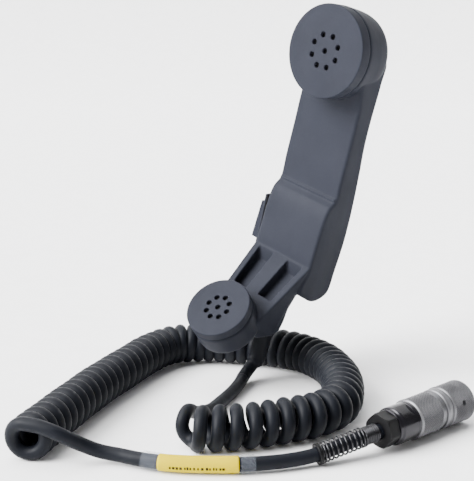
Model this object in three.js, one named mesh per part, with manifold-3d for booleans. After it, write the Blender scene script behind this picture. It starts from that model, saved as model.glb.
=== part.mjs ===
// A push-to-talk telephone handset with a curly cord and a bayonet plug.
// Millimetres, +Z up. The handset leans on the end of its strain relief, the cord lies on the
// surface z = 0, and the origin is under the middle of the handset.
import * as THREE from "three";
import { mergeVertices } from "three/addons/utils/BufferGeometryUtils.js";
import Module from "manifold-3d";

const wasm = await Module();
wasm.setup();

const DEG = Math.PI / 180;
const GAP = 0.3; // clearance between pieces that touch

// ---------------------------------------------------------------- driving dimensions

// Where the handset stands: the centre of the ear cap's face, and how far the handset leans.
const EAR_AT = [15.73, 16.6, 201.8];
const LEAN_SIDE = 13.4;
const LEAN_BACK = -2.4;

// Ear end
const EAR_R = 27;
const EAR_TILT = 3.7;
const EAR_CAP_H = 7.4;
const EAR_CAP_WALL = 2;
const EAR_FACE_T = 2.4;
const EAR_BACK_Y = 31.2;
const EAR_HOLE_RING_R = 9.5;
const EAR_HOLE_PHASE = 26;
const EAR_NECK = [3.6, 9.5];
const EAR_HOLLOW_R = 22.4;
const EAR_HOLLOW_DEPTH = 19;
const EAR_CAPSULE_R = 21.6;

// Mouth end
const MOUTH_AT = [0, -44.9, -154.3];
const MOUTH_R = 19.85;
const MOUTH_TILT = 47.9;
const MOUTH_CAP_H = 5.6;
const MOUTH_CAP_WALL = 1.6;
const MOUTH_FACE_T = 2;
const MOUTH_DEPTH = 22.5;
const MOUTH_HOLE_RING_R = 7.2;
const MOUTH_HOLE_PHASE = 3;
const MOUTH_NECK = [3.1, 7];
const MOUTH_HOLLOW_R = 15.4;
const MOUTH_HOLLOW_DEPTH = 17.5;
const MIC_R = 14.9;
const SOUND_HOLE_R = 1.6;
const SOUND_HOLES = 8;
const CAP_CLEAR = 0.4; // between a cap's wall and the neck inside it

// Handle
const HANDLE_HALF = 23.3;
const WALL = 3;
const EDGE_ROUND = 2;
const FACE_RIDGE = [[-22.4, 12, -85.2], [22.4, 14, -83.9]];

// Arm to the mouthpiece: the plane of its top edge is z = y + ARM_TOP_Z, at 45 degrees
const ARM_TOP_Z = -130.5;
const ARM_TOP_HALF = 23.2;
const ARM_END_HALF = 18.2;
const ARM_TAPER_TOP = -130;
const ARM_TAPER_LENGTH = 32;
const POCKET_DEPTH = 6;
const POCKET_CLEAR = 6;
const POCKET_CORNERS = [[6, 2.6], [18, 2.6], [15.6, -17.3], [5, -17.3]];
const DUCT_R = 2.3;

// Push-to-talk key, in the left side of the handle
const KEY_Y = 15.9;
const KEY_Z = -115.6;
const KEY_HALF_Y = 7;
const KEY_HALF_Z = 12.4;
const KEY_OUT_X = -29.9;
const KEY_IN_X = -22.4;
const KEY_CHAMFER = 0.8;
const KEY_SIDE_ROUND = 1.2;
const KEY_WINDOW_CLEAR = 0.8;
const BEZEL_T = 1.3;
const SEAL_T = 0.7;
const FRAME_SIDE = 2.4; // how far the bezel and seal reach past the key's sides
const FRAME_END = 6; // and past its ends
const BEZEL_SCREW_PAST = 3.2;
const BEZEL_SCREW_HOLE_R = 1.3;
const BEZEL_SCREW_HEAD_R = 2.3;
const BEZEL_SCREW_HEAD_T = 0.9;
const BEZEL_SCREW_R = 0.95;
const STEM_R = 2.2;
const STEM_END_X = -15.4;
const STEM_FLANGE_R = 5.6;
const STEM_FLANGE_T = 1.4;
const SPRING_TURNS = 4;
const SPRING_STEPS = 10;
const SPRING_R = 3.6;
const SPRING_WIRE_R = 0.4;

// Switch behind the key
const BRACKET_X = -14.6;
const BRACKET_T = 1.2;
const BRACKET_HALF_Z = 15;
const BRACKET_EDGE_Y = 9.6;
const BRACKET_FOOT_X = 4;
const BRACKET_BACK_Y = 26.4;
const BRACKET_SCREW_APART = 12;
const STEM_HOLE_R = 2.8;
const SWITCH_X = -11.6;
const SWITCH_IN_X = -3.6;
const SWITCH_Y = [10.4, 21.6];
const SWITCH_HALF_Z = 10;
const SWITCH_BUTTON_R = 1.3;
const SWITCH_BUTTON_OUT = 2.9;
const SWITCH_BUTTON_IN = 2;
const SWITCH_SCREW_HEAD_R = 2.4;
const SWITCH_SCREW_HEAD_T = 1.4;
const SWITCH_SCREW_R = 1.1;
const SWITCH_SCREW_HOLE_R = 1.5;

// Cord
const CABLE_R = 3.7;
const COIL_R = 12.5;
const NECK_R = 3.95;

// Plug, measured from the rear face of its gland nut along its axis
const PLUG_AT = [87.1, -54.7];
const PLUG_TURN = -3.15;
const PLUG_R = 11.6;
const PLUG_Z = 11.9;
const NUT_END = 7.6;
const CLAMP_END = 23.2;
const REAR_RING_END = 41.8;
const COLLAR_START = 45.3;
const COLLAR_END = 50;
const PLUG_END = 68.4;

// ---------------------------------------------------------------- materials

const plastic = new THREE.MeshStandardMaterial({ color: 0x3a3c44, roughness: 0.62, metalness: 0 });
const rubber = new THREE.MeshStandardMaterial({ color: 0x32343a, roughness: 0.55, metalness: 0 });
const gasket = new THREE.MeshStandardMaterial({ color: 0x151515, roughness: 0.8, metalness: 0 });
const anodised = new THREE.MeshStandardMaterial({ color: 0x8f9092, roughness: 0.45, metalness: 0.85 });
const darkMetal = new THREE.MeshStandardMaterial({ color: 0x46434a, roughness: 0.3, metalness: 0.8 });
const blackMetal = new THREE.MeshStandardMaterial({ color: 0x1d1d20, roughness: 0.45, metalness: 0.6 });
const steel = new THREE.MeshStandardMaterial({ color: 0xb4b6b8, roughness: 0.35, metalness: 1 });
const brass = new THREE.MeshStandardMaterial({ color: 0xc8a34a, roughness: 0.3, metalness: 1 });
const board = new THREE.MeshStandardMaterial({ color: 0x6b4a22, roughness: 0.6, metalness: 0 });
const wire = new THREE.MeshStandardMaterial({ color: 0x9a3028, roughness: 0.5, metalness: 0 });
const clear = new THREE.MeshStandardMaterial({ color: 0xd8dce0, roughness: 0.2, metalness: 0 });
const yellow = new THREE.MeshStandardMaterial({ color: 0xf4e05a, roughness: 0.5, metalness: 0 });
const cloth = new THREE.MeshStandardMaterial({ color: 0x202022, roughness: 0.9, metalness: 0 });

// ---------------------------------------------------------------- solids

// A closed geometry as a solid that can be cut and joined.
function solid(geometry) {
  const bare = geometry.clone();
  bare.deleteAttribute("normal");
  bare.deleteAttribute("uv");
  const merged = mergeVertices(bare, 1e-4);
  return new wasm.Manifold(
    new wasm.Mesh({
      numProp: 3,
      vertProperties: merged.attributes.position.array,
      triVerts: new Uint32Array(merged.index.array),
    }),
  );
}

function geometryOf(manifold) {
  const mesh = manifold.getMesh();
  const geometry = new THREE.BufferGeometry();
  geometry.setAttribute("position", new THREE.BufferAttribute(mesh.vertProperties, 3));
  geometry.setIndex(new THREE.BufferAttribute(mesh.triVerts, 1));
  return geometry;
}

// The first solid with all the others cut out of it.
function cut(first, ...others) {
  return others.reduce((whole, other) => whole.subtract(other), first);
}

function join(first, ...others) {
  return others.reduce((whole, other) => whole.add(other), first);
}

// A box between two corners.
function box(low, high) {
  const geometry = new THREE.BoxGeometry(high[0] - low[0], high[1] - low[1], high[2] - low[2]);
  geometry.translate((low[0] + high[0]) / 2, (low[1] + high[1]) / 2, (low[2] + high[2]) / 2);
  return solid(geometry);
}

// A profile of [radius, y] points turned about the Y axis. It runs anticlockwise, and a ring's
// profile closes on itself.
function turned(points, segments = 32) {
  return solid(turnedGeometry(points, segments));
}

function turnedGeometry(points, segments) {
  const profile = points.map(([radius, y]) => new THREE.Vector2(radius, y));
  return new THREE.LatheGeometry(profile, segments);
}

// A ring about the Y axis with a square section.
function ring(inner, outer, start, end, segments = 32) {
  return turned(
    [[inner, start], [outer, start], [outer, end], [inner, end], [inner, start]],
    segments,
  );
}

// A disc or a cylinder about the Y axis.
function drum(radius, start, end, segments = 32) {
  return turned([[0, start], [radius, start], [radius, end], [0, end]], segments);
}

// A round bar between two points.
function bar(from, to, radius, sides = 12) {
  const start = new THREE.Vector3(...from);
  const along = new THREE.Vector3(...to).sub(start);
  const geometry = new THREE.CylinderGeometry(radius, radius, along.length(), sides);
  geometry.translate(0, along.length() / 2, 0);
  const turn = new THREE.Quaternion();
  turn.setFromUnitVectors(new THREE.Vector3(0, 1, 0), along.normalize());
  geometry.applyQuaternion(turn);
  geometry.translate(...from);
  return solid(geometry);
}

// A side outline of [y, z] points, extruded across X from -half to half with rounded edges.
function sideways(points, half, round = 0, middle = 0) {
  const shape = new THREE.Shape(points.map(([y, z]) => new THREE.Vector2(y, z)));
  const geometry = new THREE.ExtrudeGeometry(shape, {
    depth: 2 * (half - round),
    bevelEnabled: round > 0,
    bevelThickness: round,
    bevelSize: round,
    bevelOffset: -round,
    bevelSegments: 2,
  });
  geometry.translate(0, 0, round - half);
  const basis = new THREE.Matrix4().makeBasis(
    new THREE.Vector3(0, 1, 0),
    new THREE.Vector3(0, 0, 1),
    new THREE.Vector3(1, 0, 0),
  );
  geometry.applyMatrix4(basis);
  geometry.translate(middle, 0, 0);
  return geometry;
}

// A circle of a few sides, as a section to extrude along a curve.
function circleShape(radius, sides) {
  const points = [];
  for (let i = 0; i < sides; i += 1) {
    const angle = (i / sides) * 2 * Math.PI;
    points.push(new THREE.Vector2(radius * Math.cos(angle), radius * Math.sin(angle)));
  }
  return new THREE.Shape(points);
}

function smooth(points) {
  return new THREE.CatmullRomCurve3(points.map((point) => new THREE.Vector3(...point)));
}

// The stretch of a curve between two distances along it.
function stretch(curve, from, to, count) {
  const whole = curve.getLength();
  const points = [];
  for (let i = 0; i <= count; i += 1) {
    points.push(curve.getPointAt(THREE.MathUtils.lerp(from, to, i / count) / whole).toArray());
  }
  return points;
}

// A tube along a smooth curve through the points, with a bore where one is asked for.
function tube(points, radius, sides, steps, bore = 0) {
  const curve = smooth(points);
  const section = circleShape(radius, sides);
  if (bore > 0) section.holes.push(circleShape(bore, sides));
  return new THREE.ExtrudeGeometry(section, { steps, extrudePath: curve, bevelEnabled: false });
}

function add(group, name, shape, material) {
  const geometry = shape.isBufferGeometry ? shape : geometryOf(shape);
  const mesh = new THREE.Mesh(geometry, material);
  mesh.name = name;
  group.add(mesh);
}

// ---------------------------------------------------------------- groups

const root = new THREE.Group();

const handset = new THREE.Group();
handset.position.set(...EAR_AT);
handset.rotation.set(LEAN_BACK * DEG, LEAN_SIDE * DEG, 0, "ZYX");
root.add(handset);

// The ear pieces are turned about Y, with y = 0 at the cap's face.
const ear = new THREE.Group();
ear.rotation.x = EAR_TILT * -DEG;
handset.add(ear);

// The mouth pieces likewise.
const mouth = new THREE.Group();
mouth.position.set(...MOUTH_AT);
mouth.rotation.x = MOUTH_TILT * -DEG;
handset.add(mouth);

// The plug's pieces are turned about Y, with y = 0 at the gland nut's rear face.
const plug = new THREE.Group();
plug.position.set(PLUG_AT[0] + EAR_AT[0], PLUG_AT[1] + EAR_AT[1], PLUG_Z);
plug.rotation.z = PLUG_TURN * DEG;
root.add(plug);

// Moves a solid from an end's own frame into the handset's.
function placed(manifold, group) {
  group.updateMatrix();
  return solid(geometryOf(manifold).applyMatrix4(group.matrix));
}

// Cylinders for the sound holes: a ring of them and one in the middle.
function soundHoles(ringR, phase, depth) {
  const holes = [];
  for (let i = 0; i < SOUND_HOLES; i += 1) {
    const angle = (phase + (i * 360) / SOUND_HOLES) * DEG;
    holes.push([ringR * Math.cos(angle), ringR * Math.sin(angle)]);
  }
  holes.push([0, 0]);
  return holes.map(([x, z]) => bar([x, -1, z], [x, depth + 1, z], SOUND_HOLE_R, 8));
}

// ---------------------------------------------------------------- handset body

// The outline of the handle and the heel, from the ear end down, as [y, z].
const HANDLE_OUTLINE = [
  [14.6, 0], [14.6, -30], [14.2, -50], [13.4, -70], [13.2, -84.6], [12.2, -86.4], [9.6, -88.6],
  [7.6, -92], [6.2, -97], [5.4, -103], [4.6, -112], [3.6, -122], [3, -130], [0.4, -136],
  [-0.6, -143.6], [2.4, -145.7], [7.7, -148.2], [11, -150.2],
  [14, -151], [18.9, -150.8], [24.1, -148.9], [27, -146.6], [28.2, -143], [29.3, -133.4],
  [30.6, -123.5], [31.7, -113], [32, -95], [30.8, -72.4], [28.9, -50], [29, -36], [30.2, -14],
  [30, 0],
];

// The hollow inside it.
const HANDLE_HOLLOW = [
  [17.8, -6], [17.6, -30], [17.2, -50], [16.4, -70], [16, -86], [12, -91], [9.6, -97], [8.6, -104],
  [7.6, -114], [7, -124], [6.6, -133], [9, -142], [14, -147.4], [19, -147.4], [23, -145.6],
  [25.2, -141], [26.4, -132], [27.6, -123], [28.6, -112], [28.8, -95], [27.6, -73], [25.8, -50],
  [25.9, -36], [27, -16], [27, -6],
];

// The arm's outline: its top edge runs down and forward to the mouth end.
const ARM_OUTLINE = [
  [4, ARM_TOP_Z + 4], [-24, ARM_TOP_Z - 24], [-32, -163], [-25, -170.5], [-12, -171.6],
  [-5.6, -169.4], [-3.6, -163], [-3, -154], [-1, -147.6], [2, -138],
];

// The arm gets narrower towards the mouth end.
function armSolid() {
  const geometry = sideways(ARM_OUTLINE, 1);
  const position = geometry.attributes.position;
  for (let i = 0; i < position.count; i += 1) {
    const down = THREE.MathUtils.clamp((ARM_TAPER_TOP - position.getZ(i)) / ARM_TAPER_LENGTH, 0, 1);
    const half = THREE.MathUtils.lerp(ARM_TOP_HALF, ARM_END_HALF, down);
    position.setX(i, position.getX(i) * half);
  }
  return solid(geometry);
}

// A pocket in the arm's top, between the middle rib and a side rib. side is 1 or -1. The
// shear makes its walls run straight down, so its upper wall carries on the handle's face.
function armPocket(side) {
  const shape = new THREE.Shape(
    POCKET_CORNERS.map(([x, y]) => new THREE.Vector2(side * x, y * Math.SQRT2)),
  );
  const geometry = new THREE.ExtrudeGeometry(shape, {
    depth: POCKET_DEPTH + POCKET_CLEAR,
    bevelEnabled: false,
  });
  geometry.translate(0, 0, -POCKET_DEPTH);
  geometry.applyMatrix4(new THREE.Matrix4().makeShear(0, 0, 0, 0, 0, 1));
  geometry.rotateX(Math.PI / 4);
  geometry.translate(0, 0, ARM_TOP_Z);
  return solid(geometry);
}

const STRAIN_BASE = [8, -7.5, -171.5];
const BOSS_R = 7.4;

// The raised line across the handle's face.
const faceRidge = box(...FACE_RIDGE);

const earShell = placed(
  turned(
    [
      [0, 8], [EAR_R, EAR_CAP_H + GAP + 0.2], [EAR_R, 9.4], [25.6, 15], [23.4, 24], [21.8, 28.6],
      [19.6, 30.6], [17, EAR_BACK_Y], [0, EAR_BACK_Y],
    ],
    36,
  ),
  ear,
);
const earNeck = placed(drum(EAR_R - EAR_CAP_WALL - CAP_CLEAR, ...EAR_NECK, 36), ear);
const earHollow = placed(drum(EAR_HOLLOW_R, 0, EAR_HOLLOW_DEPTH, 32), ear);

const mouthShell = placed(
  turned(
    [
      [0, MOUTH_CAP_H + GAP], [MOUTH_R, MOUTH_CAP_H + GAP], [MOUTH_R, MOUTH_DEPTH - 2.4],
      [MOUTH_R - 0.8, MOUTH_DEPTH - 0.8], [MOUTH_R - 2.4, MOUTH_DEPTH], [0, MOUTH_DEPTH],
    ],
    32,
  ),
  mouth,
);
const mouthNeck = placed(drum(MOUTH_R - MOUTH_CAP_WALL - CAP_CLEAR, ...MOUTH_NECK, 32), mouth);
const mouthHollow = placed(drum(MOUTH_HOLLOW_R, 0, MOUTH_HOLLOW_DEPTH, 28), mouth);

// Ducts for the wires: from the handle's hollow down the middle rib, on to the mouth end,
// and out to the strain relief.
const DUCT_START = [0, 10, -126];
const DUCT_TOP = [0, 2, -131];
const DUCT_BEND = [0, 3.1, -128.6];
const DUCT_FORK = [0, -10, -157];
const DUCT_MOUTH = [0, -31, -164];
const DUCT_CORD = [STRAIN_BASE[0], STRAIN_BASE[1], STRAIN_BASE[2] - 6];

const keyWindow = box(
  [
    -HANDLE_HALF - 1,
    KEY_Y - KEY_HALF_Y - KEY_WINDOW_CLEAR,
    KEY_Z - KEY_HALF_Z - KEY_WINDOW_CLEAR,
  ],
  [
    -HANDLE_HALF + WALL + 2,
    KEY_Y + KEY_HALF_Y + KEY_WINDOW_CLEAR,
    KEY_Z + KEY_HALF_Z + KEY_WINDOW_CLEAR,
  ],
);

const bezelScrewZ = [
  KEY_Z + KEY_HALF_Z + BEZEL_SCREW_PAST,
  KEY_Z - KEY_HALF_Z - BEZEL_SCREW_PAST,
];
const bezelScrewHoles = bezelScrewZ.map((z) =>
  bar([-HANDLE_HALF - 1, KEY_Y, z], [-HANDLE_HALF + WALL + 2, KEY_Y, z], BEZEL_SCREW_HOLE_R, 8),
);

const body = cut(
  join(
    solid(sideways(HANDLE_OUTLINE, HANDLE_HALF, EDGE_ROUND)),
    armSolid(),
    earShell,
    earNeck,
    mouthShell,
    mouthNeck,
    faceRidge,
    bar([STRAIN_BASE[0], -8.5, -160], STRAIN_BASE, BOSS_R, 20),
  ),
  solid(sideways(HANDLE_HOLLOW, HANDLE_HALF - WALL)),
  earHollow,
  mouthHollow,
  armPocket(1),
  armPocket(-1),
  bar(DUCT_BEND, DUCT_FORK, DUCT_R, 8),
  bar(DUCT_FORK, DUCT_MOUTH, DUCT_R, 8),
  bar(DUCT_FORK, DUCT_CORD, DUCT_R, 8),
  bar(DUCT_TOP, DUCT_START, DUCT_R, 8),
  keyWindow,
  ...bezelScrewHoles,
);
add(handset, "handset_body", body, plastic);

// ---------------------------------------------------------------- ear pieces

function cap(radius, height, wall, faceT, ringR, phase, segments) {
  const shell = turned(
    [
      [0, 0], [radius - 1.3, 0], [radius - 0.4, 0.4], [radius, 1.3], [radius, height],
      [radius - wall, height], [radius - wall, faceT], [0, faceT],
    ],
    segments,
  );
  return cut(shell, ...soundHoles(ringR, phase, faceT));
}

add(
  ear,
  "ear_cap",
  cap(EAR_R, EAR_CAP_H, EAR_CAP_WALL, EAR_FACE_T, EAR_HOLE_RING_R, EAR_HOLE_PHASE, 36),
  plastic,
);
add(ear, "ear_gasket", ring(22.7, 24.5, 2.7, 3.3, 32), gasket);
add(ear, "receiver_membrane", drum(EAR_CAPSULE_R, 2.7, 3.1, 32), cloth);
add(
  ear,
  "receiver_capsule",
  turned([[0, 3.5], [EAR_CAPSULE_R, 3.5], [EAR_CAPSULE_R, 9], [17, 10.5], [17, 15], [0, 15]], 32),
  blackMetal,
);

// ---------------------------------------------------------------- mouth pieces

add(
  mouth,
  "mouth_cap",
  cap(MOUTH_R, MOUTH_CAP_H, MOUTH_CAP_WALL, MOUTH_FACE_T, MOUTH_HOLE_RING_R, MOUTH_HOLE_PHASE, 32),
  plastic,
);
add(mouth, "mouth_gasket", ring(15.8, 17.7, 2.3, 2.8, 32), gasket);
add(mouth, "mouth_membrane", drum(MIC_R, 2.3, 2.7, 28), cloth);
add(
  mouth,
  "microphone_capsule",
  turned([[0, 3.1], [MIC_R, 3.1], [MIC_R, 8], [11, 9.5], [11, 13.5], [0, 13.5]], 28),
  blackMetal,
);

// ---------------------------------------------------------------- push-to-talk key

const sealX = -HANDLE_HALF - GAP;
const bezelX = sealX - SEAL_T - GAP;

// A plate around the key, between two X planes, that stands clear of the key by the given hole.
function keyFrame(xOut, xIn, hole) {
  const plate = box(
    [xOut, KEY_Y - KEY_HALF_Y - FRAME_SIDE, KEY_Z - KEY_HALF_Z - FRAME_END],
    [xIn, KEY_Y + KEY_HALF_Y + FRAME_SIDE, KEY_Z + KEY_HALF_Z + FRAME_END],
  );
  const opening = box(
    [xOut - 1, KEY_Y - KEY_HALF_Y - hole, KEY_Z - KEY_HALF_Z - hole],
    [xIn + 1, KEY_Y + KEY_HALF_Y + hole, KEY_Z + KEY_HALF_Z + hole],
  );
  const screws = bezelScrewZ.map((z) => bar([xOut - 1, KEY_Y, z], [xIn + 1, KEY_Y, z], 1.5, 8));
  return cut(plate, opening, ...screws);
}
add(handset, "ptt_seal", keyFrame(sealX - SEAL_T, sealX, 0.6), gasket);
add(handset, "ptt_bezel", keyFrame(bezelX - BEZEL_T, bezelX, 0.4), plastic);
["ptt_bezel_screw_upper", "ptt_bezel_screw_lower"].forEach((name, i) => {
  const z = bezelScrewZ[i];
  const head = bezelX - BEZEL_T - GAP;
  const screw = join(
    bar([head - BEZEL_SCREW_HEAD_T, KEY_Y, z], [head, KEY_Y, z], BEZEL_SCREW_HEAD_R, 10),
    bar([head - 0.4, KEY_Y, z], [-HANDLE_HALF + WALL + 1, KEY_Y, z], BEZEL_SCREW_R, 8),
  );
  add(handset, name, screw, steel);
});

// The key: a rubber-skinned block with a flat outside, and a stem behind it.
const keyOutline = [
  [KEY_OUT_X + KEY_CHAMFER, -KEY_HALF_Z], [KEY_OUT_X, -KEY_HALF_Z + KEY_CHAMFER],
  [KEY_OUT_X, KEY_HALF_Z - KEY_CHAMFER], [KEY_OUT_X + KEY_CHAMFER, KEY_HALF_Z],
  [KEY_IN_X, KEY_HALF_Z], [KEY_IN_X, -KEY_HALF_Z],
];
function keySolid() {
  const shape = new THREE.Shape(keyOutline.map(([x, z]) => new THREE.Vector2(x, z)));
  const geometry = new THREE.ExtrudeGeometry(shape, {
    depth: 2 * (KEY_HALF_Y - KEY_SIDE_ROUND),
    bevelEnabled: true,
    bevelThickness: KEY_SIDE_ROUND,
    bevelSize: KEY_SIDE_ROUND,
    bevelOffset: -KEY_SIDE_ROUND,
    bevelSegments: 2,
  });
  geometry.translate(0, 0, KEY_SIDE_ROUND - KEY_HALF_Y);
  geometry.rotateX(Math.PI / 2);
  geometry.translate(0, KEY_Y, KEY_Z);
  return solid(geometry);
}
add(handset, "ptt_key", keySolid(), rubber);

const flangeX = KEY_IN_X + STEM_FLANGE_T;
add(
  handset,
  "ptt_stem",
  join(
    bar([KEY_IN_X + GAP, KEY_Y, KEY_Z], [flangeX, KEY_Y, KEY_Z], STEM_FLANGE_R, 16),
    bar([KEY_IN_X + 1, KEY_Y, KEY_Z], [STEM_END_X, KEY_Y, KEY_Z], STEM_R, 12),
  ),
  plastic,
);

// The return spring round the stem, between its flange and the switch bracket.
function springPoints() {
  const start = flangeX + GAP + SPRING_WIRE_R;
  const end = BRACKET_X - GAP - SPRING_WIRE_R;
  const points = [];
  for (let i = 0; i <= SPRING_TURNS * SPRING_STEPS; i += 1) {
    const turn = (i / SPRING_STEPS) * 2 * Math.PI;
    const x = THREE.MathUtils.lerp(start, end, i / (SPRING_TURNS * SPRING_STEPS));
    points.push([x, KEY_Y + SPRING_R * Math.cos(turn), KEY_Z + SPRING_R * Math.sin(turn)]);
  }
  return points;
}
add(
  handset,
  "ptt_spring",
  tube(springPoints(), SPRING_WIRE_R, 5, SPRING_TURNS * SPRING_STEPS),
  steel,
);

// The switch behind it, on a bracket that is screwed to the back wall.
const footY = BRACKET_BACK_Y - BRACKET_T;
const bracketScrewZ = [KEY_Z + BRACKET_SCREW_APART, KEY_Z - BRACKET_SCREW_APART];
const bracket = cut(
  join(
    box(
      [BRACKET_X, BRACKET_EDGE_Y, KEY_Z - BRACKET_HALF_Z],
      [BRACKET_X + BRACKET_T, BRACKET_BACK_Y, KEY_Z + BRACKET_HALF_Z],
    ),
    box(
      [BRACKET_X, footY, KEY_Z - BRACKET_HALF_Z],
      [BRACKET_FOOT_X, BRACKET_BACK_Y, KEY_Z + BRACKET_HALF_Z],
    ),
  ),
  bar([BRACKET_X - 1, KEY_Y, KEY_Z], [BRACKET_X + BRACKET_T + 1, KEY_Y, KEY_Z], STEM_HOLE_R, 16),
  ...bracketScrewZ.map((z) =>
    bar([0, footY - 1, z], [0, BRACKET_BACK_Y + 1, z], SWITCH_SCREW_HOLE_R, 8),
  ),
);
add(handset, "switch_bracket", bracket, steel);
add(
  handset,
  "switch_body",
  cut(
    box(
      [SWITCH_X, SWITCH_Y[0], KEY_Z - SWITCH_HALF_Z],
      [SWITCH_IN_X, SWITCH_Y[1], KEY_Z + SWITCH_HALF_Z],
    ),
    bar([SWITCH_X - 1, KEY_Y, KEY_Z], [SWITCH_X + 4.6, KEY_Y, KEY_Z], SWITCH_BUTTON_R + GAP, 12),
  ),
  blackMetal,
);
add(
  handset,
  "switch_button",
  bar(
    [SWITCH_X - SWITCH_BUTTON_OUT, KEY_Y, KEY_Z],
    [SWITCH_X + SWITCH_BUTTON_IN, KEY_Y, KEY_Z],
    SWITCH_BUTTON_R,
    10,
  ),
  rubber,
);
["switch_screw_upper", "switch_screw_lower"].forEach((name, i) => {
  const z = bracketScrewZ[i];
  const headY = footY - GAP;
  const screw = join(
    bar([0, headY - SWITCH_SCREW_HEAD_T, z], [0, headY, z], SWITCH_SCREW_HEAD_R, 10),
    bar([0, headY - 0.6, z], [0, BRACKET_BACK_Y + GAP, z], SWITCH_SCREW_R, 8),
  );
  add(handset, name, screw, steel);
});

// ---------------------------------------------------------------- wiring inside

const TERMINAL_Z = [-139, -131.5];
add(
  handset,
  "terminal_block",
  join(
    box([4, 10.5, TERMINAL_Z[0]], [19, 13, TERMINAL_Z[1]]),
    ...[6.5, 10, 13.5, 17].map((x) => bar([x, 12, -135.2], [x, 16, -135.2], 1.3, 8)),
  ),
  board,
);
add(
  handset,
  "receiver_wires",
  tube(
    [[8, 22, -128], [7, 22, -110], [6, 21.5, -85], [5, 21.5, -60], [4, 21.5, -30], [4, 19.5, -12]],
    1.1, 6, 14,
  ),
  wire,
);
add(
  handset,
  "switch_wires",
  tube([[-2.6, 16, -121], [0, 16.5, -126], [4, 17.5, -130], [8, 18.5, -134]], 0.9, 6, 8),
  wire,
);
add(
  handset,
  "microphone_wires",
  tube([[0, -11.5, -157.5], [0, -20, -160.4], [0, -30.5, -163.9]], 1.2, 6, 6),
  wire,
);
add(
  handset,
  "cord_wires",
  tube([[0, 9, -126.4], [0, 2.3, -130.4], [0, -3.6, -143.2], [0, -8.6, -154]], 0.9, 6, 10),
  wire,
);

// ---------------------------------------------------------------- strain relief and cord

// Points on the surface are given from under the ear cap's centre.
function laid(points) {
  return points.map(([x, y, z]) => [x + EAR_AT[0], y + EAR_AT[1], z]);
}

// The sleeve comes down from the arm and bends forward; its slim neck reaches the surface.
const SLEEVE_ROUTE = laid([
  [-32.2, -14.8, 32.2], [-33.4, -15.1, 27], [-35, -15.8, 20], [-36.2, -17.4, 13.5], [-36.3, -20, 9],
]);
const NECK_ROUTE = laid([
  [-36.2, -17.6, 13.2], [-36.3, -20, 9], [-35.4, -24.4, 5.2], [-33.6, -29.4, 3.84],
]);
add(
  root,
  "strain_relief",
  join(
    solid(tube(SLEEVE_ROUTE, 5.6, 14, 10)),
    solid(tube(NECK_ROUTE, NECK_R, 14, 8)),
  ),
  rubber,
);

// The lead from the handset, along the surface and up to the back of the coil's first turn.
const LEAD_ROUTE = laid([
  [-33, -31, 3.9], [-30.4, -36.8, 3.8], [-23.6, -51.2, 3.8], [-16.2, -68, 3.9],
  [-9.4, -82.4, 5.2], [-4, -95, 8.6], [-0.6, -106.4, 12.6],
]);
add(root, "cord_lead", tube(LEAD_ROUTE, CABLE_R, 8, 14), rubber);

// The curly cord, as the fat tube that its turns fill.
const COIL_ROUTE = laid([
  [14, -125.2, 12.5], [31.2, -103.7, 12.5], [43.3, -79, 12.5], [49.6, -60, 12.5],
  [48.6, -42, 12.5], [38, -23.6, 12.5], [19.4, -4.6, 12.5], [-3, 8.6, 12.5], [-26, 13, 12.5],
  [-48, 7, 12.5], [-68, -4, 12.5], [-86, -17, 12.5], [-96, -34, 12.5], [-93, -56, 12.5],
  [-82.1, -84.4, 12.5], [-71.2, -112, 12.5], [-60.5, -134.8, 12.5], [-49.9, -156.3, 12.5],
  [-32.2, -191, 12.5],
]);
add(root, "cord_coil", tube(COIL_ROUTE, COIL_R, 10, 44), rubber);

// The tail, from the top of the coil's last turn to the plug. It lies a little higher where the
// marker is round it.
const TAIL_ROUTE = laid([
  [-18.2, -183.2, 18.6], [-14, -178.4, 15.2], [-11, -171.6, 10.6], [-5.6, -164.6, 6.6],
  [3.1, -158.6, 5.2], [14.5, -154.4, 5.1], [27, -148, 5.1], [40.3, -137.5, 5.1],
  [54.4, -123.5, 5.1], [62, -113.8, 5.1], [67.6, -104.6, 5.1], [72.4, -95, 5.4],
  [76.4, -86.4, 6.6], [80.4, -76.4, 8.7], [84.1, -65.6, 10.7], [86.5, -58, 11.7],
  [87.1, -54.7, 11.9], [87.4, -48.2, 11.9],
]);
const tailCurve = smooth(TAIL_ROUTE);
add(root, "cord_tail", tube(TAIL_ROUTE, CABLE_R, 8, 36), rubber);

// A ring round a span of the tail, given as two distances along it.
function tailRing(name, span, radius, bore, steps, material) {
  add(root, name, tube(stretch(tailCurve, ...span, steps), radius, 10, steps, bore), material);
}

// The marker: a printed strip round the tail, under a clear sleeve.
const MARKER_LABEL = [59.5, 99.5];
const MARKER_SLEEVE = [51, 107.5];
tailRing("marker_label", MARKER_LABEL, 4.35, 4.05, 7, yellow);
tailRing("marker_sleeve", MARKER_SLEEVE, 4.95, 4.65, 9, clear);

// ---------------------------------------------------------------- plug

// A steel coil guards the cord's bend behind the gland nut, between a collar and a ferrule.
const GUARD_BORE = 4.1;
const SPRING_COLLAR = [140.3, 142];
const BEND_SPRING = [142.4, 167.4];
const SPRING_FERRULE = [167.8, 175.6];
tailRing("spring_collar", SPRING_COLLAR, 5.6, GUARD_BORE, 2, blackMetal);
tailRing("bend_spring", BEND_SPRING, 5.3, GUARD_BORE, 7, blackMetal);
tailRing("spring_ferrule", SPRING_FERRULE, 4.9, GUARD_BORE, 3, blackMetal);

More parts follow.
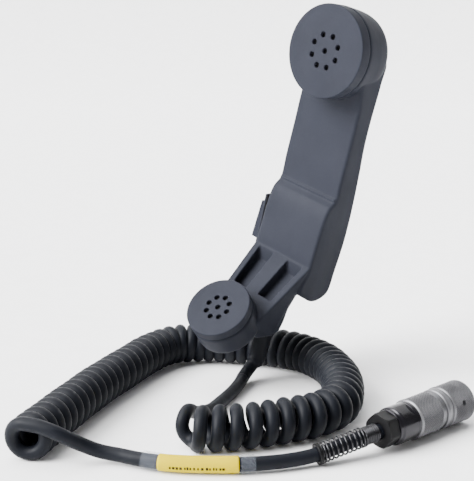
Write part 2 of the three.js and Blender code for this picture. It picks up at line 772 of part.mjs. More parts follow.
const hexBar = new THREE.CylinderGeometry(9.7, 9.7, NUT_END, 6);
hexBar.translate(0, NUT_END / 2, 0);
const nutChamfer = turned(
  [[0, 0], [8.3, 0], [9.7, 1.2], [9.7, NUT_END - 1], [9.1, NUT_END], [0, NUT_END]],
  24,
);
add(
  plug,
  "gland_nut",
  cut(solid(hexBar).intersect(nutChamfer), drum(4.4, -1, NUT_END + 1, 16)),
  blackMetal,
);
add(plug, "gland_grommet", ring(4.4, 7.1, NUT_END + 0.9, 13, 20), gasket);
add(
  plug,
  "clamp_body",
  turned(
    [
      [7.5, NUT_END + GAP], [9.5, NUT_END + GAP], [10.2, NUT_END + 1.1], [10.2, CLAMP_END],
      [8.9, CLAMP_END], [8.9, 17], [7.5, 16], [7.5, NUT_END + GAP],
    ],
    28,
  ),
  darkMetal,
);
const SHELL_R = 8.5;
const SHELL_BORE = 7.7;
add(
  plug,
  "rear_ring",
  turned(
    [
      [9, CLAMP_END + GAP], [10.4, CLAMP_END + GAP], [11.1, CLAMP_END + 1.1],
      [11.1, REAR_RING_END - 0.6], [10.5, REAR_RING_END], [9, REAR_RING_END],
      [9, CLAMP_END + GAP],
    ],
    30,
  ),
  anodised,
);
add(
  plug,
  "plug_shell",
  turned(
    [
      [SHELL_BORE, 17.6], [SHELL_R, 17.6], [SHELL_R, REAR_RING_END + GAP],
      [10.3, REAR_RING_END + GAP], [10.3, COLLAR_START - GAP], [8.9, COLLAR_START - GAP],
      [8.9, 66], [SHELL_BORE, 66], [SHELL_BORE, 17.6],
    ],
    28,
  ),
  anodised,
);

// The coupling ring turns a quarter turn on the shell; three holes in it take the bayonet pegs.
const PEG_HOLE_R = 1.5;
const PEG_HOLE_AT = 58.9;
const PEG_HOLE_TURN = 19;
const PEG_HOLE_SPAN = [9.1, 13]; // from inside the ring's bore to outside it
const couplingShape = turned(
  [
    [9.3, COLLAR_START], [10.8, COLLAR_START], [11.2, COLLAR_START + 0.5],
    [11.2, COLLAR_END - 0.4], [10.8, COLLAR_END], [PLUG_R, COLLAR_END + 0.8],
    [PLUG_R, PLUG_END - 1], [10.9, PLUG_END], [9.9, PLUG_END], [9.9, 60.5], [9.3, 60.5],
    [9.3, 50.6], [10.3, 50.6], [10.3, 46.4], [9.3, 46.4], [9.3, COLLAR_START],
  ],
  30,
);
const pegHoles = [0, 120, 240].map((turn) => {
  const angle = (PEG_HOLE_TURN + turn) * DEG;
  const [start, end] = PEG_HOLE_SPAN.map((radius) => [
    radius * Math.cos(angle), PEG_HOLE_AT, radius * Math.sin(angle),
  ]);
  return bar(start, end, PEG_HOLE_R, 12);
});
add(plug, "coupling_ring", cut(couplingShape, ...pegHoles), anodised);
add(plug, "wave_spring", ring(9.2, 10, 46.8, 47.6, 28), steel);
add(plug, "retaining_ring", ring(9.2, 10, 48, 50.2, 28), steel);

const PIN_RING_R = 4.6;
const PIN_R = 0.8;
const PINS = 5;
const PIN_SPAN = [44, 62.5];
const INSERT_BACK = 48;
const INSERT_FRONT = 57;
const pinPlaces = [];
for (let i = 0; i < PINS; i += 1) {
  const angle = (90 + (i * 360) / PINS) * DEG;
  pinPlaces.push([PIN_RING_R * Math.cos(angle), PIN_RING_R * Math.sin(angle)]);
}
add(
  plug,
  "contact_insert",
  cut(
    drum(SHELL_BORE - GAP, INSERT_BACK, INSERT_FRONT, 24),
    ...pinPlaces.map(([x, z]) => bar([x, INSERT_BACK - 1, z], [x, INSERT_FRONT + 1, z], PIN_R + GAP, 8)),
  ),
  board,
);
pinPlaces.forEach(([x, z], i) => {
  add(plug, `contact_pin_${i + 1}`, bar([x, PIN_SPAN[0], z], [x, PIN_SPAN[1], z], PIN_R, 6), brass);
});
add(plug, "face_seal", ring(6, SHELL_BORE - GAP, INSERT_FRONT + GAP, 58.4, 24), gasket);

export default root;
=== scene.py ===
import math
import random

import bmesh
import bpy
from mathutils import Matrix, Vector


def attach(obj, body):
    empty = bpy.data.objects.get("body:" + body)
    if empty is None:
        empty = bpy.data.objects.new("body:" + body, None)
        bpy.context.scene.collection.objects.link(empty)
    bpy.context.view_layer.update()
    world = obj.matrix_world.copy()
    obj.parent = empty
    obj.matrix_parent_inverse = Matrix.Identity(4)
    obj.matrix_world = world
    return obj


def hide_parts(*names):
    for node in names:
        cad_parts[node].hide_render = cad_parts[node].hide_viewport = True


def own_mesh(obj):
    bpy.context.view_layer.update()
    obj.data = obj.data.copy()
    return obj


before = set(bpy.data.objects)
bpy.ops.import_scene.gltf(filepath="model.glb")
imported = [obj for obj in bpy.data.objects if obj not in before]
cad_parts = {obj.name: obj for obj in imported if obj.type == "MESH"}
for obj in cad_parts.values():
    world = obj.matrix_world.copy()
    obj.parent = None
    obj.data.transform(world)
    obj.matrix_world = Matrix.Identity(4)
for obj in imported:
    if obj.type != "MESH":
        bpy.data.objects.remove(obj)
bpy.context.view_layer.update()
random.seed(7)

# ---------------------------------------------------------------- where things are

MM = 0.001
UP = Vector((0, 0, 1))

EAR_AT = Vector((15.73, 16.6, 201.8))
LEAN_SIDE = 13.4
LEAN_BACK = -2.4
EAR_TILT = -3.7
MOUTH_AT = Vector((0, -44.9, -154.3))
MOUTH_TILT = -47.9
PLUG_FROM_EAR = (87.1, -54.7)
PLUG_Z = 11.9
PLUG_TURN = -3.15


def turned(degrees, axis):
    return Matrix.Rotation(math.radians(degrees), 4, axis)


# Each part of the object has its own frame, in millimetres, as in the CAD.
HANDSET = Matrix.Translation(EAR_AT) @ turned(LEAN_SIDE, "Y") @ turned(LEAN_BACK, "X")
EAR = HANDSET @ turned(EAR_TILT, "X")
MOUTH = HANDSET @ Matrix.Translation(MOUTH_AT) @ turned(MOUTH_TILT, "X")
PLUG_AT = Vector((EAR_AT.x + PLUG_FROM_EAR[0], EAR_AT.y + PLUG_FROM_EAR[1], PLUG_Z))
PLUG = Matrix.Translation(PLUG_AT) @ turned(PLUG_TURN, "Z")
WORLD = Matrix.Identity(4)
TO_METRES = Matrix.Scale(MM, 4)


def laid(points):
    """Points on the surface are given from under the ear cap's centre."""
    return [Vector((x + EAR_AT.x, y + EAR_AT.y, z)) for x, y, z in points]


# ---------------------------------------------------------------- camera


CAMERA_FROM_EAR = Vector((412.6, -486.2, 30.3))
CAMERA_TILT = 77.5
CAMERA_TURN = 44.81
CAMERA_LENS = 83.54


def make_camera():
    """A long lens a little over half a metre away, looking slightly down."""
    data = bpy.data.cameras.new("camera")
    data.sensor_fit = "HORIZONTAL"
    data.sensor_width = 36
    data.lens = CAMERA_LENS
    camera = bpy.data.objects.new("camera", data)
    camera.location = (EAR_AT + CAMERA_FROM_EAR) * MM
    camera.rotation_euler = (math.radians(CAMERA_TILT), 0, math.radians(CAMERA_TURN))
    bpy.context.scene.collection.objects.link(camera)
    bpy.context.scene.camera = camera


make_camera()

# ---------------------------------------------------------------- materials


class Shader:
    """A material's node tree, with short calls to add nodes and join them.
    All patterns are placed in the piece's own object space."""

    def __init__(self, name):
        self.material = bpy.data.materials.new(name)
        self.material.use_nodes = True
        self.tree = self.material.node_tree
        self.tree.nodes.clear()
        self.output = self.tree.nodes.new("ShaderNodeOutputMaterial")
        self.surface = self.tree.nodes.new("ShaderNodeBsdfPrincipled")
        self.tree.links.new(self.surface.outputs[0], self.output.inputs["Surface"])
        self.place = self.tree.nodes.new("ShaderNodeTexCoord").outputs["Object"]

    def link(self, source, node, socket):
        self.tree.links.new(source, node.inputs[socket])

    def stretched(self, scale):
        node = self.tree.nodes.new("ShaderNodeMapping")
        node.inputs["Scale"].default_value = scale
        self.link(self.place, node, "Vector")
        return node.outputs["Vector"]

    def noise(self, scale, detail=4, roughness=0.55, place=None):
        node = self.tree.nodes.new("ShaderNodeTexNoise")
        node.inputs["Scale"].default_value = scale
        node.inputs["Detail"].default_value = detail
        node.inputs["Roughness"].default_value = roughness
        self.link(place or self.place, node, "Vector")
        return node.outputs["Fac"]

    def cells(self, scale):
        node = self.tree.nodes.new("ShaderNodeTexVoronoi")
        node.inputs["Scale"].default_value = scale
        self.link(self.place, node, "Vector")
        return node.outputs["Distance"]

    def ramp(self, value, stops):
        """stops are (position, colour or grey) pairs."""
        node = self.tree.nodes.new("ShaderNodeValToRGB")
        elements = node.color_ramp.elements
        while len(elements) < len(stops):
            elements.new(0.5)
        for element, (position, colour) in zip(elements, stops):
            element.position = position
            if isinstance(colour, (int, float)):
                colour = (colour, colour, colour)
            element.color = (*colour, 1)
        self.link(value, node, "Fac")
        return node.outputs["Color"]

    def mixed(self, a, b, amount):
        """a times b, by the given amount."""
        node = self.tree.nodes.new("ShaderNodeMix")
        node.data_type = "RGBA"
        node.blend_type = "MULTIPLY"
        node.inputs["Factor"].default_value = amount
        self.tree.links.new(a, node.inputs["A"])
        self.tree.links.new(b, node.inputs["B"])
        return node.outputs["Result"]

    def bump(self, height, strength, distance, under=None):
        node = self.tree.nodes.new("ShaderNodeBump")
        node.inputs["Strength"].default_value = strength
        node.inputs["Distance"].default_value = distance
        self.link(height, node, "Height")
        if under:
            self.link(under, node, "Normal")
        return node.outputs["Normal"]

    def finish(self, colour, roughness, normal, **values):
        self.link(colour, self.surface, "Base Color")
        self.link(roughness, self.surface, "Roughness")
        self.link(normal, self.surface, "Normal")
        for name, value in values.items():
            self.surface.inputs[name.replace("_", " ")].default_value = value
        return self.material


def shade(colour, factor):
    return tuple(c * factor for c in colour)


def moulded_plastic(name, colour, rough=0.56):
    """Matte plastic with a fine eroded grain and faint handling marks."""
    s = Shader(name)
    large = s.noise(35, detail=3)
    fine = s.noise(900, detail=2)
    tint = s.ramp(large, [(0.3, shade(colour, 0.93)), (0.7, shade(colour, 1.08))])
    speckle = s.ramp(fine, [(0.3, 0.9), (0.7, 1.0)])
    base = s.mixed(tint, speckle, 0.8)
    marks = s.noise(120, detail=6, place=s.stretched((1, 1, 0.3)))
    roughness = s.ramp(marks, [(0.3, rough - 0.06), (0.7, rough + 0.08)])
    soft = s.bump(s.noise(260, detail=3), 0.05, 0.0004)
    grain = s.bump(s.noise(2600, detail=3), 0.12, 0.00012, soft)
    return s.finish(base, roughness, grain, Specular_IOR_Level=0.05)


def satin_rubber(name, colour, rough):
    """Polyurethane cord jacket: smooth, with a soft sheen and faint dust."""
    s = Shader(name)
    dust = s.noise(300, detail=6, roughness=0.7)
    drift = s.noise(40, detail=2)
    tint = s.ramp(drift, [(0.3, shade(colour, 0.9)), (0.7, shade(colour, 1.12))])
    base = s.mixed(tint, s.ramp(dust, [(0.35, 0.88), (0.65, 1.0)]), 0.7)
    roughness = s.ramp(dust, [(0.3, rough - 0.05), (0.7, rough + 0.09)])
    grain = s.bump(s.noise(1500, detail=3), 0.1, 0.00012)
    return s.finish(base, roughness, grain, Specular_IOR_Level=0.1)


def dull_rubber(name, colour):
    """Matte rubber or moulded insulation with a fine mottle."""
    s = Shader(name)
    fine = s.noise(800, detail=4)
    base = s.ramp(fine, [(0.3, shade(colour, 0.7)), (0.7, shade(colour, 1.3))])
    roughness = s.ramp(fine, [(0.3, 0.72), (0.7, 0.9)])
    return s.finish(base, roughness, s.bump(fine, 0.2, 0.0001), Specular_IOR_Level=0.1)


def finished_metal(name, colour, rough, metallic=1.0):
    """Turned metal: fine streaks, slightly uneven polish, and hollows darkened with painted
    shade.
    """
    s = Shader(name)
    turned = s.noise(1800, detail=3, place=s.stretched((1, 0.06, 1)))
    wear = s.noise(160, detail=5, roughness=0.65)
    tint = s.ramp(turned, [(0.25, shade(colour, 0.86)), (0.75, shade(colour, 1.1))])
    base = s.mixed(tint, s.ramp(wear, [(0.3, 0.88), (0.7, 1.0)]), 0.8)
    # Painted shade: concave places such as knurl grooves are darkened in the base colour.
    hollow_shade = s.tree.nodes.new("ShaderNodeNewGeometry").outputs["Pointiness"]
    base = s.mixed(base, s.ramp(hollow_shade, [(0.44, 0.3), (0.53, 1.0)]), 1.0)
    roughness = s.ramp(wear, [(0.3, rough - 0.06), (0.7, rough + 0.1)])
    normal = s.bump(turned, 0.06, 0.00006)
    if metallic < 0.1:
        return s.finish(base, roughness, normal, Specular_IOR_Level=0.12)
    return s.finish(base, roughness, normal, Metallic=metallic)


def woven_cloth(name, colour):
    """A tight weave that shows behind the sound holes."""
    s = Shader(name)
    weave = s.cells(4200)
    base = s.ramp(weave, [(0.1, shade(colour, 0.5)), (0.6, shade(colour, 1.4))])
    roughness = s.ramp(weave, [(0.1, 0.8), (0.6, 0.95)])
    return s.finish(base, roughness, s.bump(weave, 0.4, 0.0001))


def printed_strip(name, colour):
    """Coated yellow tape under its sleeve."""
    s = Shader(name)
    cloud = s.noise(90, detail=3)
    fibre = s.noise(1500, detail=4)
    tint = s.ramp(cloud, [(0.3, shade(colour, 0.96)), (0.7, shade(colour, 1.03))])
    base = s.mixed(tint, s.ramp(fibre, [(0.3, 0.96), (0.7, 1.0)]), 0.6)
    roughness = s.ramp(fibre, [(0.3, 0.35), (0.7, 0.5)])
    return s.finish(base, roughness, s.bump(cloud, 0.05, 0.0003), Specular_IOR_Level=0.02)


def clear_tube(name, colour, alpha):
    """Thin clear sleeve: mostly see-through, with a milky skin and a bright sheen."""
    s = Shader(name)
    haze = s.noise(220, detail=4)
    base = s.ramp(haze, [(0.3, shade(colour, 0.92)), (0.7, colour)])
    roughness = s.ramp(haze, [(0.3, 0.16), (0.7, 0.3)])
    normal = s.bump(haze, 0.12, 0.0005)
    return s.finish(base, roughness, normal, Alpha=alpha, Specular_IOR_Level=0.1)


def wire_coating(name, colour):
    """Thin plastic insulation with a slight sheen."""
    s = Shader(name)
    lay = s.noise(500, detail=3)
    base = s.ramp(lay, [(0.3, shade(colour, 0.8)), (0.7, shade(colour, 1.2))])
    roughness = s.ramp(lay, [(0.3, 0.35), (0.7, 0.5)])
    return s.finish(base, roughness, s.bump(lay, 0.1, 0.0001))


PLASTIC = moulded_plastic("moulded_plastic", (0.0165, 0.018, 0.0248))
KEY_RUBBER = moulded_plastic("key_rubber", (0.017, 0.0185, 0.026), rough=0.62)
RUBBER = satin_rubber("satin_rubber", (0.0046, 0.0055, 0.0082), rough=0.5)
GASKET = dull_rubber("dull_rubber", (0.004, 0.004, 0.0045))
CLOTH = woven_cloth("woven_cloth", (0.003, 0.003, 0.004))
BLACK_METAL = finished_metal("black_metal", (0.0025, 0.0025, 0.003), 0.42, metallic=0.0)
SPRING_METAL = finished_metal("spring_metal", (0.035, 0.035, 0.038), 0.22, metallic=0.85)
STEEL = finished_metal("steel", (0.3, 0.31, 0.32), 0.3)
DARK_METAL = finished_metal("dark_metal", (0.013, 0.012, 0.016), 0.16, metallic=0.6)
ANODISED = finished_metal("anodised", (0.15, 0.15, 0.16), 0.4, metallic=0.75)
BRASS = finished_metal("brass", (0.5, 0.33, 0.1), 0.24)
BOARD = dull_rubber("insulation", (0.05, 0.025, 0.01))
WIRE = wire_coating("wire_coating", (0.2, 0.02, 0.012))
LABEL = printed_strip("printed_strip", (0.52, 0.4, 0.0))
INK = dull_rubber("ink", (0.012, 0.01, 0.008))
CLEAR = clear_tube("clear_tube", (0.2, 0.22, 0.26), 0.1)
CLINGING = clear_tube("clinging_tube", (0.1, 0.08, 0.01), 0.015)

# ---------------------------------------------------------------- shapes


def piece_from(name, points, faces, place, smooth=True):
    """A mesh object from points in millimetres in a part's own frame."""
    mesh = bpy.data.meshes.new(name)
    moved = [TO_METRES @ (place @ Vector(point)) for point in points]
    mesh.from_pydata(moved, [], faces)
    mesh.validate()
    if smooth:
        mesh.polygons.foreach_set("use_smooth", [True] * len(mesh.polygons))
    thing = bpy.data.objects.new(name, mesh)
    bpy.context.scene.collection.objects.link(thing)
    return thing


def rounded(profile, radius, steps=4):
    """A profile with its corners rounded, where the two sides are long enough."""
    result = [profile[0]]
    for before, corner, after in zip(profile, profile[1:], profile[2:]):
        corner_point = Vector(corner)
        back = Vector(before) - corner_point
        on = Vector(after) - corner_point
        reach = min(radius, back.length * 0.45, on.length * 0.45)
        if reach < 0.02 or back.angle(on) > math.radians(172):
            result.append(corner)
            continue
        start = corner_point + back.normalized() * reach
        end = corner_point + on.normalized() * reach
        for i in range(steps + 1):
            t = i / steps
            bend = start * (1 - t) ** 2 + corner_point * 2 * t * (1 - t) + end * t**2
            result.append(tuple(bend))
    result.append(profile[-1])
    return result


def lathe(name, profile, place, segments=128, radius_at=None):
    """A profile of (radius, y) turned about the Y axis. It starts and ends on the axis, or it
    closes on itself. radius_at(radius, y, angle) may change the radius."""
    closed = profile[0] == profile[-1]
    rows = profile[:-1] if closed else profile
    points = []
    rings = []
    for radius, y in rows:
        if radius < 1e-6:
            rings.append([len(points)] * segments)
            points.append((0, y, 0))
            continue
        ring = []
        for i in range(segments):
            angle = 2 * math.pi * i / segments
            r = radius_at(radius, y, angle) if radius_at else radius
            ring.append(len(points))
            points.append((r * math.cos(angle), y, r * math.sin(angle)))
        rings.append(ring)
    pairs = list(zip(rings, rings[1:]))
    if closed:
        pairs.append((rings[-1], rings[0]))
    faces = []
    for low, high in pairs:
        for i in range(segments):
            j = (i + 1) % segments
            corners = [low[j], low[i], high[i], high[j]]
            face = list(dict.fromkeys(corners))
            if len(face) > 2:
                faces.append(face)
    return piece_from(name, points, faces, place)


def spaced(points, step, closed=False):
    """A smooth line through the points, cut into short even steps."""
    count = len(points)
    dense = []
    spans = count if closed else count - 1
    for i in range(spans):
        if closed:
            four = [points[(i + k) % count] for k in (-1, 0, 1, 2)]
        else:
            four = [points[min(max(i + k, 0), count - 1)] for k in (-1, 0, 1, 2)]
        a, b, c, d = (Vector(p) for p in four)
        knots = [0.0]
        for p, q in ((a, b), (b, c), (c, d)):
            knots.append(knots[-1] + max((q - p).length, 1e-3) ** 0.5)
        t0, t1, t2, t3 = knots
        pieces = max(1, round((c - b).length / step))
        for j in range(pieces):
            t = t1 + (t2 - t1) * j / pieces
            a1 = a * ((t1 - t) / (t1 - t0)) + b * ((t - t0) / (t1 - t0))
            a2 = b * ((t2 - t) / (t2 - t1)) + c * ((t - t1) / (t2 - t1))
            a3 = c * ((t3 - t) / (t3 - t2)) + d * ((t - t2) / (t3 - t2))
            b1 = a1 * ((t2 - t) / (t2 - t0)) + a2 * ((t - t0) / (t2 - t0))
            b2 = a2 * ((t3 - t) / (t3 - t1)) + a3 * ((t - t1) / (t3 - t1))
            dense.append(b1 * ((t2 - t) / (t2 - t1)) + b2 * ((t - t1) / (t2 - t1)))
    if not closed:
        dense.append(Vector(points[-1]))
    return dense


def prism(name, outline, half, place, width_at=None):
    """An outline of (y, z) points stretched across X. width_at(y, z) may narrow it."""
    count = len(outline)
    points = []
    for side in (-1, 1):
        for y, z in outline:
            points.append((side * half * (width_at(y, z) if width_at else 1), y, z))
    faces = [list(range(count))[::-1], list(range(count, 2 * count))]
    for i in range(count):
        j = (i + 1) % count
        faces.append([i, j, count + j, count + i])
    thing = piece_from(name, points, faces, place, smooth=False)
    fix_normals(thing)
    return thing


def block(name, low, high, place):
    """A box between two corners."""
    outline = [(low[1], low[2]), (high[1], low[2]), (high[1], high[2]), (low[1], high[2])]
    middle = (low[0] + high[0]) / 2
    shift = Matrix.Translation((middle, 0, 0))
    return prism(name, outline, (high[0] - low[0]) / 2, place @ shift)


def rod(name, start, end, radius, place, sides=32):
    """A round bar between two points."""
    along = Vector(end) - Vector(start)
    turn = UP.rotation_difference(along).to_matrix()
    points = []
    for base in (Vector(start), Vector(end)):
        for i in range(sides):
            angle = 2 * math.pi * i / sides
            spoke = Vector((math.cos(angle), math.sin(angle), 0)) * radius
            points.append(base + turn @ spoke)
    faces = [list(range(sides))[::-1], list(range(sides, 2 * sides))]
    for i in range(sides):
        j = (i + 1) % sides
        faces.append([i, j, sides + j, sides + i])
    return piece_from(name, points, faces, place, smooth=False)


def sweep(name, path, radius, sides, radius_at=None, hollow=0):
    """A round bar along a path, or a tube where hollow gives its bore's radius.
    radius_at(share of the length) may change its radius."""
    path = [Vector(point) for point in path]
    tangents = []
    for i in range(len(path)):
        ahead = path[min(i + 1, len(path) - 1)]
        behind = path[max(i - 1, 0)]
        tangents.append((ahead - behind).normalized())
    side = tangents[0].orthogonal().normalized()
    points = []
    rings = []
    layers = [radius] + ([hollow] if hollow else [])
    for i, (centre, tangent) in enumerate(zip(path, tangents)):
        side = (side - tangent * side.dot(tangent)).normalized()
        other = tangent.cross(side)
        share = i / (len(path) - 1)
        for layer in layers:
            r = layer * (radius_at(share) if radius_at else 1)
            rings.append(len(points))
            for k in range(sides):
                angle = 2 * math.pi * k / sides
                spoke = side * math.cos(angle) + other * math.sin(angle)
                points.append(centre + spoke * r)
    count = len(layers)
    faces = []

    def band(first, second, inward=False):
        for k in range(sides):
            m = (k + 1) % sides
            face = [first + k, first + m, second + m, second + k]
            faces.append(face[::-1] if inward else face)

    for i in range(len(path) - 1):
        for layer in range(count):
            here = rings[i * count + layer]
            there = rings[(i + 1) * count + layer]
            band(here, there, inward=layer == 1)
    if hollow:
        band(rings[0], rings[1], inward=True)
        band(rings[-2], rings[-1])
    else:
        faces.append([rings[0] + k for k in range(sides)][::-1])
        faces.append([rings[-1] + k for k in range(sides)])
    return piece_from(name, points, faces, WORLD)


def fix_normals(thing):
    """Turns every face outwards."""
    work = bmesh.new()
    work.from_mesh(thing.data)
    bmesh.ops.recalc_face_normals(work, faces=work.faces)
    work.to_mesh(thing.data)
    work.free()


def applied(thing):
    """Turns an object's modifiers into its mesh."""
    bpy.context.view_layer.update()
    graph = bpy.context.evaluated_depsgraph_get()
    mesh = bpy.data.meshes.new_from_object(thing.evaluated_get(graph))
    thing.modifiers.clear()
    thing.data = mesh
    return thing


def cut(thing, *cutters):
    """thing with the cutters taken out of it. The cutters are used up."""
    for cutter in cutters:
        modifier = thing.modifiers.new("cut", "BOOLEAN")
        modifier.operation = "DIFFERENCE"
        modifier.solver = "EXACT"
        modifier.object = cutter
        applied(thing)
        bpy.data.objects.remove(cutter)
    return thing


def joined(first, *others):
    """One object with all the others' faces in it."""
    work = bmesh.new()
    for thing in (first, *others):
        work.from_mesh(thing.data)
    work.to_mesh(first.data)
    work.free()
    for thing in others:
        bpy.data.objects.remove(thing)
    return first


def softened(thing, voxel, rounds):
    """One clean skin over everything in the mesh, with its edges rounded a little."""
    modifier = thing.modifiers.new("skin", "REMESH")
    modifier.mode = "VOXEL"
    modifier.voxel_size = voxel * MM
    modifier.use_smooth_shade = True
    relax = thing.modifiers.new("relax", "SMOOTH")
    relax.factor = 0.5
    relax.iterations = rounds
    applied(thing)
    thing.data.polygons.foreach_set("use_smooth", [True] * len(thing.data.polygons))
    return thing


def chamfered(thing, width, steps=3, angle=50):
    """Rounds the edges that are sharper than the angle."""
    modifier = thing.modifiers.new("edge", "BEVEL")
    modifier.width = width * MM
    modifier.segments = steps
    modifier.limit_method = "ANGLE"
    modifier.angle_limit = math.radians(angle)
    modifier.use_clamp_overlap = False
    return applied(thing)


def sharp_shaded(thing, angle=35):
    """Smooth shading that stops at real edges."""
    mesh = thing.data
    mesh.polygons.foreach_set("use_smooth", [True] * len(mesh.polygons))
    mesh.set_sharp_from_angle(angle=math.radians(angle))
    return thing


def put(thing, body, slot, material, *nodes):
    """Gives a piece its finish, the body it moves with, and the CAD nodes it stands for."""
    thing.data.materials.clear()
    thing.data.materials.append(material)
    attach(thing, body)
    if nodes:
        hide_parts(*nodes)
    return thing


# ---------------------------------------------------------------- cord

CABLE_R = 3.7
TURN_R = 8.8
COIL_HEIGHT = 12.5
COIL_START = 10.8  # where the first turn begins along the coil's route
CLOSE_PITCH = 7.45  # from turn to turn where the coil is closed up
OPENING = 20  # extra length spread over the first turns
OPENING_TURNS = 10.5
START_ANGLE = -190
LEAN = 0.8  # how far a turn's near side leads its far side, at the start of the coil
LEAN_PHASE = 0.722
STEPS_PER_TURN = 26

LEAD_ROUTE = laid(
    [
        (-34.6, -31.4, 4.5),
        (-30.8, -38, 3.8),
        (-23.6, -51.2, 3.8),
        (-16.2, -68, 3.9),
        (-9.4, -82.4, 5.2),
        (-4, -95, 8.6),
        (1.0, -104.4, 12.6),
        (3.6, -109.6, 15.8),
        (5.8, -114.2, 17.3),
        (7.2, -118.2, 14.8),
        (7.7, -119.6, 10.6),
        (9.2, -119.2, 6.8),
        (12.4, -118.4, 4.4),
        (16.4, -118.6, 3.74),
    ]
)
COIL_ROUTE = laid(
    [
        (11.2, -128.7, COIL_HEIGHT),
        (14, -125.2, COIL_HEIGHT),
        (31.2, -103.7, COIL_HEIGHT),
        (43.3, -79, COIL_HEIGHT),
        (49.6, -60, COIL_HEIGHT),
        (48.6, -42, COIL_HEIGHT),
        (38, -23.6, COIL_HEIGHT),
        (19.4, -4.6, COIL_HEIGHT),
        (-3, 8.6, COIL_HEIGHT),
        (-26, 13, COIL_HEIGHT),
        (-48, 7, COIL_HEIGHT),
        (-68, -4, COIL_HEIGHT),
        (-86, -17, COIL_HEIGHT),
        (-96, -34, COIL_HEIGHT),
        (-93, -56, COIL_HEIGHT),
        (-82.1, -84.4, COIL_HEIGHT),
        (-71.2, -112, COIL_HEIGHT),
        (-60.5, -134.8, COIL_HEIGHT),
        (-49.9, -156.3, COIL_HEIGHT),
        (-32.2, -191, COIL_HEIGHT),
    ]
)
TAIL_ROUTE = laid(
    [
        (-25.6, -187.4, 20.8),
        (-18.2, -183.2, 18.6),
        (-14, -178.4, 15.2),
        (-11, -171.6, 10.6),
        (-5.6, -164.6, 6.6),
        (3.1, -158.6, 5.2),
        (14.5, -154.4, 5.1),
        (27, -148, 5.1),
        (40.3, -137.5, 5.1),
        (54.4, -123.5, 5.1),
        (62, -113.8, 5.1),
        (67.6, -104.6, 5.1),
        (72.4, -95, 5.4),
        (76.4, -86.4, 6.6),
        (80.4, -76.4, 8.7),
        (84.1, -65.6, 10.7),
        (86.5, -58, 11.7),
        (87.1, -54.7, 11.9),
        (87.4, -48.2, 11.9),
    ]
)


def lengths_along(path):
    """The distance from the start to each point of a path."""
    total = [0.0]
    for a, b in zip(path, path[1:]):
        total.append(total[-1] + (b - a).length)
    return total


def point_along(path, lengths, distance):
    """The point, and the direction, at a distance along a fine path."""
    distance = min(max(distance, 0), lengths[-1])
    low, high = 0, len(lengths) - 1
    while high - low > 1:
        middle = (low + high) // 2
        if lengths[middle] <= distance:
            low = middle
        else:
            high = middle
    span = lengths[high] - lengths[low]
    point = path[low].lerp(path[high], (distance - lengths[low]) / span)
    before = path[max(low - 3, 0)]
    after = path[min(high + 3, len(path) - 1)]
    return point, (after - before).normalized()


def coil_turns():
    """The helix: wound left-handed round the coil's route. The near side of each turn stands
    nearly upright, and the far side runs on to the next turn."""
    axis = spaced(COIL_ROUTE, 1.0)
    lengths = lengths_along(axis)
    room = lengths[-1] - COIL_START

    def opening(turns):
        """Extra room between the first few turns."""
        return OPENING * math.tanh(turns / OPENING_TURNS)

    share = START_ANGLE / -360
    count = round((room - OPENING) / CLOSE_PITCH) + 1 - share
    pitch = (room - opening(count)) / count
    steps = int(count * STEPS_PER_TURN)
    points = []
    for i in range(steps + 1):
        turns = count * i / steps
        lean = LEAN * (0.35 + 0.65 * math.exp(-turns / 9)) * min(1, (count - turns) / 2)
        along = COIL_START + opening(turns) + pitch * turns
        along += lean * math.sin(2 * math.pi * (turns - LEAN_PHASE))
        centre, forward = point_along(axis, lengths, along)
        across = forward.cross(UP)
        angle = math.radians(START_ANGLE) - 2 * math.pi * turns
        # No two turns lie or measure quite alike.
        sag = 0.12 * math.sin(turns * 2.3) + 0.1 * math.sin(turns * 0.71 + 1)
        radius = TURN_R - 0.12 + 0.1 * math.sin(turns * 1.37)
        spoke = UP * math.cos(angle) + across * math.sin(angle)
        points.append(centre + spoke * radius + forward * sag)
    return points


def evened(path, step):
    """The path with close points dropped."""
    kept = [path[0]]
    for point in path[1:]:
        if (point - kept[-1]).length > step:
            kept.append(point)
    return kept


TAIL_POINTS = spaced(TAIL_ROUTE, 1.0)
CORD_PATH = evened(spaced(LEAD_ROUTE, 1.2) + coil_turns() + TAIL_POINTS, 0.8)
cord = sweep("cord", CORD_PATH, CABLE_R, sides=20)
put(cord, "handset", "rubber", RUBBER, "cord_lead", "cord_coil", "cord_tail")

# The strain relief: a sleeve out of the arm, bending forward to a slim neck.
SLEEVE_ROUTE = laid(
    [
        (-32.2, -14.8, 32.2),
        (-33.4, -15.1, 27),
        (-35, -15.8, 20),
        (-36.2, -17.4, 13.5),
        (-37, -20.6, 9.8),
        (-36.8, -25.6, 6.4),
        (-34.6, -31.4, 4.5),
    ]
)


SLEEVE_R = 5.6
SHOULDER_AT = 0.56
SHOULDER_LENGTH = 0.1
SHOULDER_WIDTH = 0.966
NECK_WIDTH = 0.69


def sleeve_taper(share):
    """Full width in the sleeve, then a short shoulder, then the slim neck."""
    if share < SHOULDER_AT:
        return 1 - 0.06 * share
    down = min((share - SHOULDER_AT) / SHOULDER_LENGTH, 1)
    return SHOULDER_WIDTH + (NECK_WIDTH - SHOULDER_WIDTH) * down * down * (3 - 2 * down)


sleeve_path = spaced(SLEEVE_ROUTE, 0.6)
sleeve = sweep("strain_relief_sleeve", sleeve_path, SLEEVE_R, sides=32, radius_at=sleeve_taper)
put(sleeve, "handset", "rubber", RUBBER, "strain_relief")

# ---------------------------------------------------------------- marker

TAIL_LENGTHS = lengths_along(TAIL_POINTS)
TAIL_START = 8.3  # the CAD's tail begins this far along this one


def tail_stretch(start, end, step=1.0):
    """Points along the tail between two distances from the CAD tail's start."""
    count = max(2, round((end - start) / step))
    points = []
    for i in range(count + 1):
        distance = TAIL_START + start + (end - start) * i / count
        points.append(point_along(TAIL_POINTS, TAIL_LENGTHS, distance)[0])
    return points


